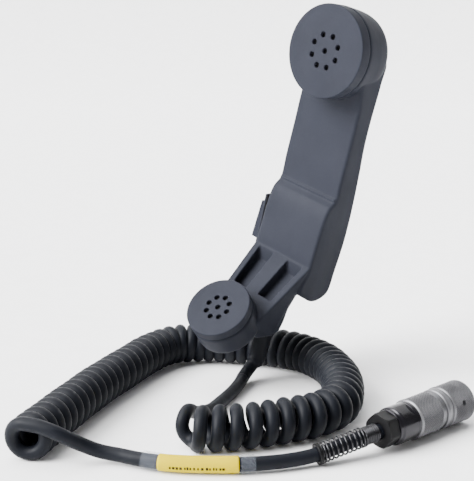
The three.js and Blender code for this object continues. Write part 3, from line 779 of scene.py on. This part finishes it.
MARKER_LABEL = (59.5, 99.5)
MARKER_SLEEVE = (51, 107.5)
LABEL_R = 4.3
PRINT = (65.5, 93)
PRINT_ANGLE = -19
PRINT_R = 4.37  # between the label and the sleeve
STRIP_R = 4.34  # where a dash's height is measured
PRINT_EDGES = 4  # points across a dash, so that it bends with the strip

label = sweep("label", tail_stretch(*MARKER_LABEL), LABEL_R, sides=40, hollow=3.95)
put(label, "handset", "label", LABEL, "marker_label")
marker_sleeve = sweep("clear_sleeve", tail_stretch(*MARKER_SLEEVE), 4.8, sides=40, hollow=4.5)
put(marker_sleeve, "handset", "clear_sleeve", CLEAR, "marker_sleeve")


def cling_over_label(thing):
    """Where the sleeve lies on the strip it is all but invisible."""
    thing.data.materials.append(CLINGING)
    start, end = MARKER_SLEEVE
    for polygon in thing.data.polygons:
        share = polygon.index / len(thing.data.polygons)
        at = start + (end - start) * share
        polygon.material_index = 1 if MARKER_LABEL[0] < at < MARKER_LABEL[1] else 0


cling_over_label(marker_sleeve)


def printed_marks():
    """A row of plain dashes low on the strip's near side, standing in for its print."""
    points = []
    faces = []
    at, last = PRINT
    while at < last:
        width = random.choice((0.7, 0.9, 1.2))
        height = random.choice((1.4, 1.6))
        base = len(points)
        for distance in (at, at + width):
            centre, forward = point_along(TAIL_POINTS, TAIL_LENGTHS, TAIL_START + distance)
            across = forward.cross(UP).normalized()
            for edge in range(PRINT_EDGES):
                rise = height * edge / (PRINT_EDGES - 1)
                angle = math.radians(PRINT_ANGLE) + rise / STRIP_R
                spoke = across * math.cos(angle) + UP * math.sin(angle)
                points.append(centre + spoke * PRINT_R)
        for a in range(base, base + PRINT_EDGES - 1):
            faces.append([a, a + PRINT_EDGES, a + PRINT_EDGES + 1, a + 1])
        at += width + random.choice((0.5, 0.6, 1.1))
    return piece_from("label_print", points, faces, WORLD)


put(printed_marks(), "handset", "label", INK)

# ---------------------------------------------------------------- handset housing

HANDLE_HALF = 23.3
EAR_R = 27
EAR_BACK = 31.2
EAR_NECK_R = 24.4
MOUTH_R = 19.85
MOUTH_BACK = 22.5
MOUTH_NECK_R = 17.6
BOSS_R = 7.4
RIDGE_R = 0.75
ARM_TOP_Z = -130.5
ARM_TOP_HALF = 23.2
ARM_END_HALF = 18.2
ARM_TAPER_TOP = -130
ARM_TAPER_LENGTH = 32
POCKET_CORNERS = [(6, 2.6), (18, 2.6), (15.6, -17.3), (5, -17.3)]
POCKET_DEPTHS = (-6, 7)
KEY_Y = 15.9
KEY_Z = -115.6
KEY_HALF_Y = 7
KEY_HALF_Z = 12.4

HANDLE_OUTLINE = [
    (11.6, 0), (11.6, -12), (14.8, -30.5), (14.6, -33), (14.2, -50), (13.4, -70),
    (13.2, -84.6), (12.2, -86.4), (9.6, -88.6), (7.6, -92), (6.2, -97), (5.4, -103),
    (4.6, -112), (3.6, -122), (3, -130), (0.4, -136), (-0.6, -143.6), (2.4, -145.7),
    (7.7, -148.2), (11, -150.2), (14, -151), (18.9, -150.8), (24.1, -148.9), (27, -146.6),
    (28.2, -143), (29.3, -133.4), (30.6, -123.5), (31.7, -113), (32, -95), (30.8, -72.4),
    (28.9, -50), (29, -36), (30.2, -14), (30, 0),
]
ARM_OUTLINE = [
    (4, ARM_TOP_Z + 4), (-24, ARM_TOP_Z - 24), (-32, -163), (-25, -170.5), (-12, -171.6),
    (-5.6, -169.4), (-3.6, -163), (-3, -154), (-1, -147.6), (2, -138),
]


def arm_width(_, z):
    """The arm's width at a height, as a share of its full width."""
    down = min(max((ARM_TAPER_TOP - z) / ARM_TAPER_LENGTH, 0), 1)
    return (ARM_TOP_HALF + (ARM_END_HALF - ARM_TOP_HALF) * down) / ARM_TOP_HALF


def arm_pocket(side):
    """A cutter for one of the two pockets in the arm's sloping top, with upright walls."""
    slope = Matrix.Translation((0, 0, ARM_TOP_Z)) @ turned(45, "X")
    points = []
    for depth in POCKET_DEPTHS:
        for x, y in POCKET_CORNERS:
            points.append(slope @ Vector((side * x, y * math.sqrt(2) + depth, depth)))
    faces = [[0, 1, 2, 3], [4, 5, 6, 7]]
    faces += [[i, (i + 1) % 4, 4 + (i + 1) % 4, 4 + i] for i in range(4)]
    cutter = piece_from("cutter", points, faces, HANDSET, smooth=False)
    fix_normals(cutter)
    return cutter


def key_opening(start_x, end_x, clear):
    """A cutter round the key, between two planes, that stands clear of it."""
    half_y = KEY_HALF_Y + clear
    half_z = KEY_HALF_Z + clear
    low = (start_x, KEY_Y - half_y, KEY_Z - half_z)
    high = (end_x, KEY_Y + half_y, KEY_Z + half_z)
    return block("cutter", low, high, HANDSET)


def ear_shell():
    """The round cup behind the ear cap."""
    profile = [
        (0, 7.9), (EAR_R, 7.9), (EAR_R, 9.4), (26.5, 14), (25.9, 20),
        (25.2, 24.5), (24.2, 27.8), (22.4, 30.2), (19.4, EAR_BACK), (0, EAR_BACK),
    ]
    return lathe("ear_shell", rounded(profile, 1.6), EAR)


def mouth_shell():
    """The round cup behind the mouth cap."""
    profile = [
        (0, 5.9), (MOUTH_R, 5.9), (MOUTH_R, MOUTH_BACK - 2.4), (MOUTH_R - 2.45, MOUTH_BACK),
        (0, MOUTH_BACK),
    ]
    return lathe("mouth_shell", rounded(profile, 2.4, 6), MOUTH)


def housing():
    """Handle, arm and both cups as one moulding, with pockets, a key window and a ridge."""
    outline = [tuple(point) for point in spaced(HANDLE_OUTLINE, 1.6, True)]
    handle = prism("housing", outline, HANDLE_HALF, HANDSET)
    chamfered(handle, 1.7, steps=4, angle=60)
    window = key_opening(-HANDLE_HALF - 1, -HANDLE_HALF + 7, 0.8)
    cut(handle, arm_pocket(1), arm_pocket(-1), window)
    arm = prism("arm", ARM_OUTLINE, ARM_TOP_HALF, HANDSET, arm_width)
    chamfered(arm, 0.8, steps=2)
    cut(arm, arm_pocket(1), arm_pocket(-1))
    boss = rod("boss", (8, -8.5, -160), (8, -7.5, -171.5), BOSS_R, HANDSET, 48)
    neck = rod("ear_neck", (0, 4, 0), (0, 10, 0), EAR_NECK_R, EAR, 64)
    mouth_neck = rod("mouth_neck", (0, 3.4, 0), (0, 8, 0), MOUTH_NECK_R, MOUTH, 64)
    ridge = rod("ridge", (-22.2, 12.9, -84.7), (22.2, 12.9, -84.7), RIDGE_R, HANDSET, 16)
    cups = (ear_shell(), mouth_shell())
    whole = joined(handle, arm, *cups, boss, neck, mouth_neck, ridge)
    return softened(whole, 0.5, 4)


put(housing(), "handset", "plastic", PLASTIC, "handset_body")


SOUND_HOLES = 8
SOUND_HOLE_R = 1.65
CAP_EDGE_ROUND = 0.7


def sound_cap(name, place, radius, height, wall, face, ring_radius, phase):
    """A round cap with a ring of small holes and one in the middle."""
    profile = [(0, 0), (radius, 0), (radius, height), (radius - wall, height)]
    profile += [(radius - wall, face), (0, face)]
    cap = lathe(name, rounded(profile, CAP_EDGE_ROUND, 6), place, 160)
    holes = [(0, 0)]
    for i in range(SOUND_HOLES):
        angle = math.radians(phase + 360 * i / SOUND_HOLES)
        holes.append((ring_radius * math.cos(angle), ring_radius * math.sin(angle)))
    cutters = []
    for x, z in holes:
        cutters.append(rod("cutter", (x, -1, z), (x, face + 1, z), SOUND_HOLE_R, place, 24))
    fix_normals(cap)
    cut(cap, *cutters)
    return softened(cap, 0.28, 2)


ear_cap = sound_cap(
    "earpiece_cap", EAR, EAR_R, height=7.4, wall=2, face=2.4, ring_radius=9.5, phase=26
)
put(ear_cap, "handset", "plastic", PLASTIC, "ear_cap")
mouth_cap = sound_cap(
    "mouthpiece_cap", MOUTH, MOUTH_R, height=5.6, wall=1.6, face=2, ring_radius=7.2, phase=3
)
put(mouth_cap, "handset", "plastic", PLASTIC, "mouth_cap")

# ---------------------------------------------------------------- push-to-talk key

KEY_OUT_X = -29.9
KEY_LOW_X = -32.3
KEY_IN_X = -22.4
BEZEL_OUT_X = -25.9
BEZEL_T = 1.3
BEZEL_SIDE = 2.4  # how far the bezel reaches past the key's sides
BEZEL_END = 6  # and past its ends
BEZEL_SCREW_PAST = 3.2


def talk_key():
    """A flat-faced rubber block that stands out further at its lower end."""
    low = (KEY_LOW_X, KEY_Y - KEY_HALF_Y, KEY_Z - KEY_HALF_Z)
    high = (KEY_IN_X, KEY_Y + KEY_HALF_Y, KEY_Z + KEY_HALF_Z)
    key = block("talk_key", low, high, WORLD)
    for vertex in key.data.vertices:
        point = vertex.co / MM
        if point.x < KEY_IN_X - 1 and point.z > KEY_Z:
            point.x = KEY_OUT_X
        vertex.co = (HANDSET @ point) * MM
    return softened(key, 0.3, 4)


put(talk_key(), "ptt_key", "rubber", KEY_RUBBER, "ptt_key")


def key_bezel():
    """A plate round the key."""
    half_y = KEY_HALF_Y + BEZEL_SIDE
    half_z = KEY_HALF_Z + BEZEL_END
    low = (BEZEL_OUT_X, KEY_Y - half_y, KEY_Z - half_z)
    high = (BEZEL_OUT_X + BEZEL_T, KEY_Y + half_y, KEY_Z + half_z)
    plate = block("key_bezel", low, high, HANDSET)
    cut(plate, key_opening(BEZEL_OUT_X - 1, BEZEL_OUT_X + 3, 0.4))
    return softened(plate, 0.22, 3)


put(key_bezel(), "handset", "plastic", PLASTIC, "ptt_bezel")


def bezel_screw(name, z):
    """A pan head with a cross recess."""
    head = BEZEL_OUT_X - 0.3
    place = HANDSET @ Matrix.Translation((head, KEY_Y, z))
    turn = place @ turned(90, "Z")
    profile = [(0, -0.4), (0.95, -0.4), (0.95, 0), (2.3, 0), (2.2, 0.5), (1.5, 0.85), (0, 0.95)]
    screw = lathe(name, profile, turn, 48)
    fix_normals(screw)
    long, thin, floor, top = 1.3, 0.22, 0.45, 2
    slots = []
    for x, z in ((long, thin), (thin, long)):
        slots.append(block("cutter", (-x, floor, -z), (x, top, z), turn))
    cut(screw, *slots)
    return sharp_shaded(screw)


for screw_name, side in (("upper", 1), ("lower", -1)):
    screw_z = KEY_Z + side * (KEY_HALF_Z + BEZEL_SCREW_PAST)
    screw = bezel_screw(f"bezel_screw_{screw_name}", screw_z)
    put(screw, "handset", "steel", STEEL, f"ptt_bezel_screw_{screw_name}")

KEY_SPRING = (-20.3, -15.3)
KEY_SPRING_TURNS = 4
KEY_SPRING_R = 3.6
KEY_SPRING_WIRE_R = 0.4


def key_spring():
    """The return spring behind the key."""
    start, end = KEY_SPRING
    steps = KEY_SPRING_TURNS * 28
    points = []
    for i in range(steps + 1):
        angle = 2 * math.pi * KEY_SPRING_TURNS * i / steps
        y = KEY_Y + KEY_SPRING_R * math.cos(angle)
        z = KEY_Z + KEY_SPRING_R * math.sin(angle)
        points.append(HANDSET @ Vector((start + (end - start) * i / steps, y, z)))
    spring = sweep("key_spring", points, KEY_SPRING_WIRE_R, sides=10)
    put(spring, "handset", "steel", STEEL, "ptt_spring")
    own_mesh(spring)


key_spring()

# ---------------------------------------------------------------- bend spring

SPRING_COLLAR = (140.3, 142.0)
BEND_SPRING = (142.2, 167.6)
FERRULE = (167.6, 175.8)
GUARD_R = 4.85
GUARD_WIRE_R = 0.52
GUARD_STEPS = 20  # points to a turn


def guard_coil(name, start, end, pitch_at, coil_radius, wire_radius):
    """A wire wound round the tail. pitch_at(share) is the gap from turn to turn."""
    points = []
    distance = start
    angle = 0.0
    while distance < end:
        centre, forward = point_along(TAIL_POINTS, TAIL_LENGTHS, TAIL_START + distance)
        across = forward.cross(UP).normalized()
        lift = across.cross(forward)
        spoke = across * math.cos(angle) + lift * math.sin(angle)
        points.append(centre + spoke * coil_radius)
        angle += 2 * math.pi / GUARD_STEPS
        distance += pitch_at((distance - start) / (end - start)) / GUARD_STEPS
    return sweep(name, points, wire_radius, sides=10)


def spring_pitch(share):
    """Close at both ends, open in between."""
    closed = 1.15
    opened = 2.7
    rise = min(share / 0.22, 1, (1 - share) / 0.16)
    return closed + (opened - closed) * rise


def rib_pitch(_):
    """The ferrule's ribs are evenly spaced."""
    return 1.0


def ribbed_ferrule():
    """A short tube with a fine wire wound on it."""
    start, end = FERRULE
    core = sweep("ferrule_core", tail_stretch(start, end, 0.5), 4.25, sides=40, hollow=3.95)
    ribs = guard_coil("ferrule_ribs", start + 0.2, end - 0.2, rib_pitch, 4.5, 0.4)
    return joined(core, ribs)


spring = guard_coil("bend_spring_coil", *BEND_SPRING, spring_pitch, GUARD_R, GUARD_WIRE_R)
put(spring, "handset", "black_metal", SPRING_METAL, "bend_spring")
collar = sweep("spring_collar_ring", tail_stretch(*SPRING_COLLAR, 0.4), 5.6, sides=40, hollow=4.0)
put(collar, "handset", "black_metal", BLACK_METAL, "spring_collar")
put(ribbed_ferrule(), "handset", "black_metal", SPRING_METAL, "spring_ferrule")

# ---------------------------------------------------------------- plug

NUT_END = 7.6
CLAMP_END = 23.2
REAR_RING_END = 41.8
COLLAR_START = 45.3
COLLAR_END = 50
PLUG_END = 68.4
WRENCH_FLAT_TURNS = (62, 242)
PEG_HOLE_AT = 58.9
PEG_HOLE_R = 1.5
PEG_HOLE_TURNS = (19, 139, 259)


REAR_TEETH = 54
COUPLING_TEETH = 56
TOOTH_POINTS = 12
KNURL_DEPTH = 0.5
KNURL_R = 11.3
KNURL_INNER_R = 10.6  # nothing nearer the axis is knurled


def knurl(start, end, count):
    """A diamond pattern between two places along the axis, as a change of radius."""
    pitch = 2 * math.pi * KNURL_R / count

    def radius_at(radius, y, angle):
        if not start <= y <= end or radius < KNURL_INNER_R:
            return radius
        fade = min((y - start) / 0.5, (end - y) / 0.5, 1)
        turn = angle * count
        along = 2 * math.pi * (y - start) / pitch
        ridge = min(abs(math.sin((turn + along) / 2)), abs(math.sin((turn - along) / 2)))
        return radius - KNURL_DEPTH * (1 - ridge) * fade

    return radius_at


def straight_rows(radius, start, end, step):
    """Close points along a straight side of a profile."""
    count = round((end - start) / step)
    return [(radius, start + (end - start) * i / count) for i in range(count + 1)]


def gland_nut():
    """A hexagon nut with turned corners, over a plain collar."""
    sides = 6
    corner = 9.7

    def hexagon(radius, y, angle):
        if radius < 6:
            return radius
        turn = (angle + math.radians(12)) % (2 * math.pi / sides) - math.pi / sides
        flat = corner * math.cos(math.pi / sides) / math.cos(turn)
        end_drop = max(0, 1.1 - y) * 0.9 + max(0, y - (NUT_END - 0.8)) * 0.8
        return min(radius, flat, corner - 0.25 - end_drop)

    rows = [(4.4, 0), (7.9, 0), (8.2, 0.1)]
    rows += straight_rows(corner, 0.15, NUT_END - 0.1, 0.25)
    rows += [(8, NUT_END), (4.4, NUT_END), (4.4, 0)]
    nut = lathe("gland_nut_hexagon", rows, PLUG, 240, hexagon)
    return sharp_shaded(nut, 24)


put(gland_nut(), "handset", "black_metal", BLACK_METAL, "gland_nut")


def clamp_sleeve():
    """A smooth sleeve with two wrench flats and a step at the front."""
    profile = [
        (7.6, 7.9), (9.1, 7.9), (9.3, 8.3), (9.3, 9.5), (10.2, 10.2), (10.2, 21.4), (10.35, 21.6),
        (10.35, CLAMP_END), (8.9, CLAMP_END), (8.9, 17), (7.6, 16), (7.6, 7.9),
    ]
    sleeve = lathe("clamp_sleeve", rounded(profile[:-1], 0.25, 3) + [profile[0]], PLUG, 160)
    fix_normals(sleeve)
    cutters = []
    for turn in WRENCH_FLAT_TURNS:
        place = PLUG @ turned(-turn, "Y")
        cutters.append(block("cutter", (9.35, 11.5, -9), (12, 20.2, 9), place))
    cut(sleeve, *cutters)
    return sharp_shaded(sleeve, 30)


put(clamp_sleeve(), "handset", "dark_metal", DARK_METAL, "clamp_body")


def rear_ring():
    """The knurled ring that closes the back of the plug."""
    rows = [(9, CLAMP_END + 0.3), (10.5, CLAMP_END + 0.3), (11.1, CLAMP_END + 1.1)]
    rows += straight_rows(11.1, CLAMP_END + 1.2, REAR_RING_END - 0.6, 0.16)
    rows += [(10.6, REAR_RING_END), (9, REAR_RING_END), (9, CLAMP_END + 0.3)]
    pattern = knurl(CLAMP_END + 1.3, REAR_RING_END - 0.7, REAR_TEETH)
    ring = lathe("rear_knurled_ring", rows, PLUG, REAR_TEETH * TOOTH_POINTS, pattern)
    return sharp_shaded(ring, 60)


put(rear_ring(), "handset", "anodised", ANODISED, "rear_ring")

def plug_shell():
    """The tube that carries both rings, with a flange between them."""
    profile = [
        (7.7, 17.6), (8.5, 17.6), (8.5, REAR_RING_END + 0.3), (10.2, REAR_RING_END + 0.3),
        (10.3, COLLAR_START - 0.3), (8.9, COLLAR_START - 0.3), (8.9, 66), (7.7, 66),
    ]
    shell = lathe("plug_shell_tube", rounded(profile, 0.2, 3) + [profile[0]], PLUG)
    return sharp_shaded(shell)


put(plug_shell(), "handset", "anodised", ANODISED, "plug_shell")


def coupling_ring():
    """The knurled ring that locks the plug: a plain collar, a knurled barrel, three peg holes."""
    rows = [
        (9.3, COLLAR_START), (10.7, COLLAR_START), (11.0, COLLAR_START + 0.2),
        (11.2, COLLAR_START + 0.5), (11.2, COLLAR_END - 0.7), (10.75, COLLAR_END - 0.4),
        (10.75, COLLAR_END), (11.1, COLLAR_END + 0.2), (11.6, COLLAR_END + 0.8),
    ]
    rows += straight_rows(11.6, COLLAR_END + 0.9, PLUG_END - 0.9, 0.16)
    rows += [
        (11.5, PLUG_END - 0.4), (11.1, PLUG_END), (10.1, PLUG_END), (9.9, PLUG_END - 0.3),
        (9.9, 60.5), (9.3, 60.5), (9.3, 50.6), (10.2, 50.6), (10.2, 46.4), (9.3, 46.4),
        (9.3, COLLAR_START),
    ]
    pattern = knurl(COLLAR_END + 1.1, PLUG_END - 1.1, COUPLING_TEETH)
    ring = lathe("coupling_ring_knurled", rows, PLUG, COUPLING_TEETH * TOOTH_POINTS, pattern)
    fix_normals(ring)
    cutters = []
    middle = Vector((0, PEG_HOLE_AT, 0))
    for turn in PEG_HOLE_TURNS:
        angle = math.radians(turn)
        out = Vector((math.cos(angle), 0, math.sin(angle)))
        cutters.append(rod("cutter", middle + out * 9, middle + out * 13, PEG_HOLE_R, PLUG, 32))
    cut(ring, *cutters)
    return sharp_shaded(ring, 60)


put(coupling_ring(), "coupling_ring", "anodised", ANODISED, "coupling_ring")

# ---------------------------------------------------------------- finishes of the plain pieces

NODE_FINISHES = {
    "ear_gasket": GASKET,
    "receiver_membrane": CLOTH,
    "receiver_capsule": BLACK_METAL,
    "mouth_gasket": GASKET,
    "mouth_membrane": CLOTH,
    "microphone_capsule": BLACK_METAL,
    "ptt_seal": GASKET,
    "ptt_stem": PLASTIC,
    "switch_bracket": STEEL,
    "switch_body": BLACK_METAL,
    "switch_button": GASKET,
    "switch_screw_upper": STEEL,
    "switch_screw_lower": STEEL,
    "terminal_block": BOARD,
    "receiver_wires": WIRE,
    "switch_wires": WIRE,
    "microphone_wires": WIRE,
    "cord_wires": WIRE,
    "gland_grommet": GASKET,
    "wave_spring": STEEL,
    "retaining_ring": STEEL,
    "contact_insert": BOARD,
    "face_seal": GASKET,
}
for i in range(5):
    NODE_FINISHES[f"contact_pin_{i + 1}"] = BRASS
for node_name, finish in NODE_FINISHES.items():
    node_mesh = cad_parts[node_name].data
    node_mesh.materials.clear()
    node_mesh.materials.append(finish)

# ---------------------------------------------------------------- surface and light


STUDIO_TURN = 44.8


def studio():
    """A pale floor that curves up into a pale wall."""
    reach = 12
    curve_start = 1.6
    curve_r = 0.8
    curve_steps = 12
    wall_height = 4
    profile = [(-reach, 0), (curve_start, 0)]
    for i in range(1, curve_steps + 1):
        angle = math.radians(90 * i / curve_steps)
        depth = curve_start + curve_r * math.sin(angle)
        profile.append((depth, curve_r - curve_r * math.cos(angle)))
    profile.append((curve_start + curve_r, wall_height))
    points = []
    for depth, height in profile:
        for side in (-reach, reach):
            points.append(Vector((side, depth, height)) / MM)
    faces = []
    for i in range(len(profile) - 1):
        a = 2 * i
        faces.append([a, a + 1, a + 3, a + 2])
    floor = piece_from("floor", points, faces, turned(STUDIO_TURN, "Z"))
    s = Shader("pale_paper")
    fibre = s.noise(60, detail=5)
    tone = s.ramp(fibre, [(0.3, (0.9, 0.9, 0.905)), (0.7, (0.93, 0.93, 0.935))])
    roughness = s.ramp(fibre, [(0.3, 0.85), (0.7, 0.95)])
    floor.data.materials.append(s.finish(tone, roughness, s.bump(fibre, 0.02, 0.0005)))


def wide_lamp(name, towards, strength, softness):
    """A lamp that fills part of the sky. softness is its width in degrees."""
    data = bpy.data.lights.new(name, "SUN")
    data.energy = strength
    data.angle = math.radians(softness)
    light = bpy.data.objects.new(name, data)
    light.location = Vector(towards)
    light.rotation_euler = Vector(towards).to_track_quat("Z", "Y").to_euler()
    bpy.context.scene.collection.objects.link(light)


def world_light(strength):
    """Even white light from every side."""
    world = bpy.data.worlds.new("studio")
    world.use_nodes = True
    background = world.node_tree.nodes["Background"]
    background.inputs["Color"].default_value = (1, 1, 1, 1)
    background.inputs["Strength"].default_value = strength
    bpy.context.scene.world = world


studio()
world_light(0.3)
wide_lamp("key_light", (-0.4, -0.85, 0.6), strength=13, softness=45)
wide_lamp("top_light", (-0.35, -0.25, 1), strength=5.5, softness=60)
